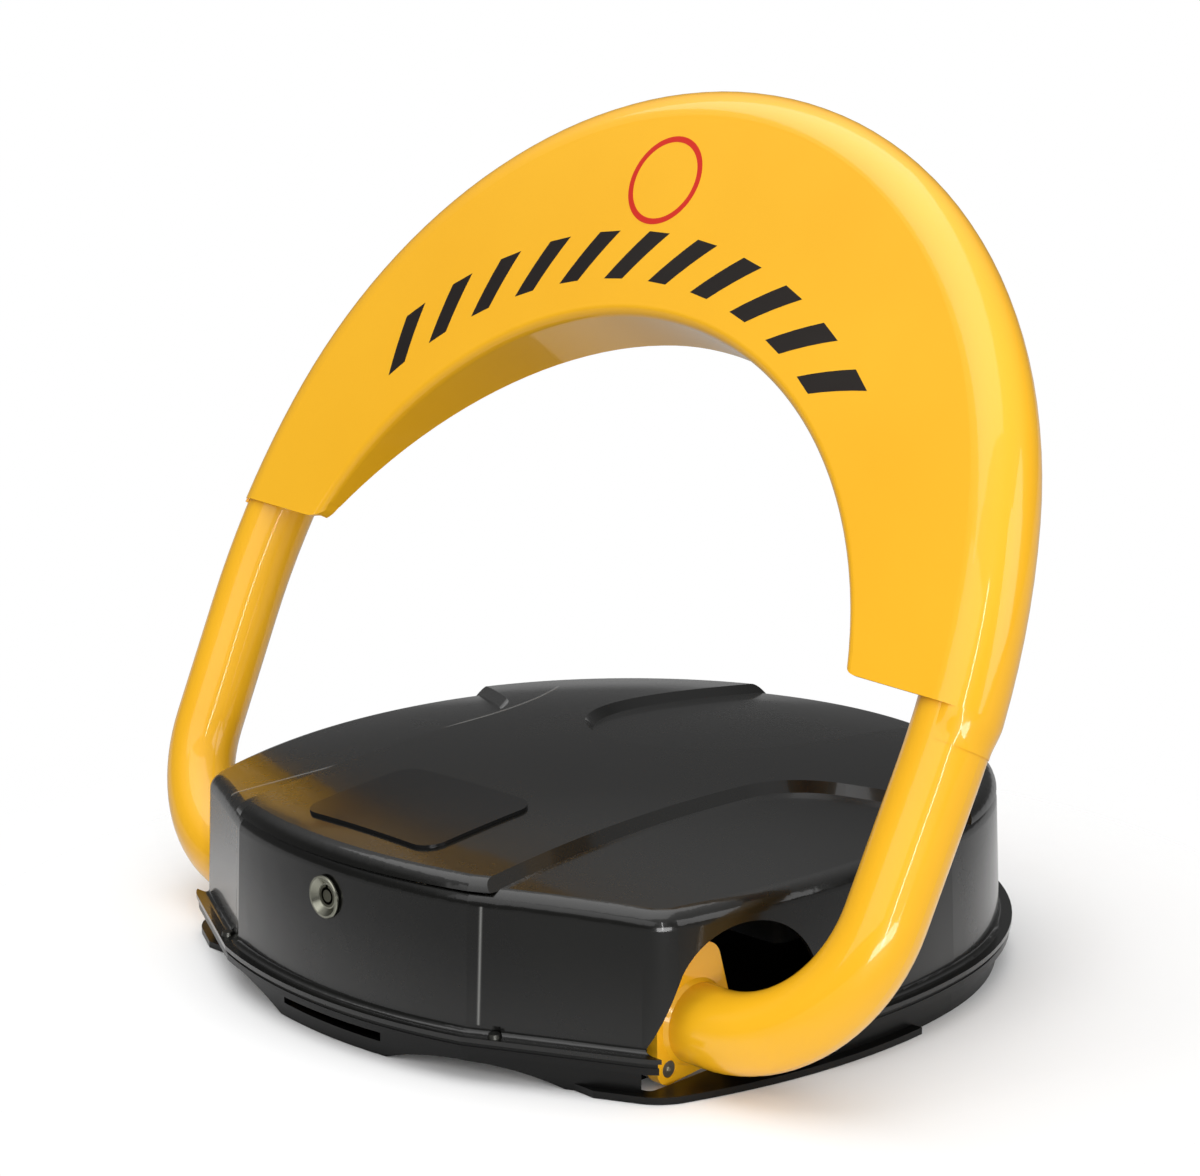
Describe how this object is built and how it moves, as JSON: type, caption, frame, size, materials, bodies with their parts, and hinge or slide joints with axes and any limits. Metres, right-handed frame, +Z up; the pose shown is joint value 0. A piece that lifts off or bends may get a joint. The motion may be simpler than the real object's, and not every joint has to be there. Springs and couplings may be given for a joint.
{
  "type": "folding parking lock",
  "caption": "Folding parking lock: low black pressed-steel base with a domed deck and front key lock, and a yellow tubular horseshoe arm that folds back round it.",
  "frame": {"origin": "centre of the ground face, under the middle of the base", "axes": "+X along the arm's pivot, +Y to the rear, +Z up"},
  "size_m": [0.4895, 0.372, 0.397],
  "materials": {
    "black_cover_paint": "satin black powder coat",
    "window_plastic": "moulded black plastic",
    "yellow_paint": "glossy yellow powder coat",
    "black_rubber": "moulded rubber",
    "spring_steel": "oiled spring wire",
    "bronze": "sintered bronze",
    "cast_grey": "cast, as blasted",
    "grey_plastic": "moulded grey plastic",
    "cell_jacket": "printed foil jacket, plain",
    "board_green": "solder mask over board",
    "lock_chrome": "nickel plated brass",
    "turned_steel": "turned steel",
    "motor_steel": "drawn and zinc plated can",
    "zinc_steel": "zinc plated steel"
  },
  "bodies": {
    "base": {"top_cover": "black_cover_paint", "base_pan": "black_cover_paint", "aerial_coil": "zinc_steel", "battery_cells": "cell_jacket", "battery_contacts": "zinc_steel", "battery_strap": "zinc_steel", "battery_tray": "grey_plastic", "bearing_block_left": "cast_grey", "bearing_block_right": "cast_grey", "bearing_bush_left": "bronze", "bearing_bush_right": "bronze", "buzzer": "window_plastic", "circuit_board": "board_green", "control_box": "grey_plastic", "control_box_lid": "grey_plastic", "cover_gasket": "black_rubber", "cover_screws": "zinc_steel", "down_stop": "black_rubber", "floor_studs": "zinc_steel", "gearbox_housing": "cast_grey", "gearbox_screws": "zinc_steel", "lid_screws": "zinc_steel", "lock_body": "lock_chrome", "lock_keeper": "zinc_steel", "lock_nut": "zinc_steel", "motor_bracket": "zinc_steel", "motor_can": "motor_steel", "reed_sensors": "window_plastic", "sensor_bracket": "zinc_steel", "signal_window": "window_plastic", "spring_anchors": "zinc_steel", "spring_left": "spring_steel", "spring_right": "spring_steel", "stud_nuts": "zinc_steel"},
    "arm": {"arm_tube": "yellow_paint", "arm_shell": "yellow_paint", "arm_welds": "yellow_paint", "shell_welds": "yellow_paint", "flange_plate_left": "yellow_paint", "flange_plate_right": "yellow_paint", "flange_screws": "zinc_steel", "hub_disc_left": "turned_steel", "hub_disc_right": "turned_steel", "main_shaft": "turned_steel", "shaft_collars": "turned_steel", "sector_gear": "turned_steel", "sensor_disc": "zinc_steel"},
    "drive": {"drive_pinion": "turned_steel"},
    "lock": {"lock_plug": "lock_chrome", "lock_cam": "zinc_steel"}
  },
  "joints": [
    {"name": "arm_fold", "type": "hinge", "parent": "base", "child": "arm", "pos_m": [0, -0.106, 0.025], "axis": [1, 0, 0], "range_deg": [-63.7, 0]},
    {"name": "pinion_turn", "type": "hinge", "parent": "base", "child": "drive", "pos_m": [0.025, -0.0835, 0.06397], "axis": [1, 0, 0], "range_deg": [0, 254.8]},
    {"name": "key_turn", "type": "hinge", "parent": "base", "child": "lock", "pos_m": [0, -0.17, 0.063], "axis": [0, 1, 0], "range_deg": [0, 90]}
  ],
  "couplings": [
    {"joint": "pinion_turn", "follows": "arm_fold", "ratio": -4}
  ]
}
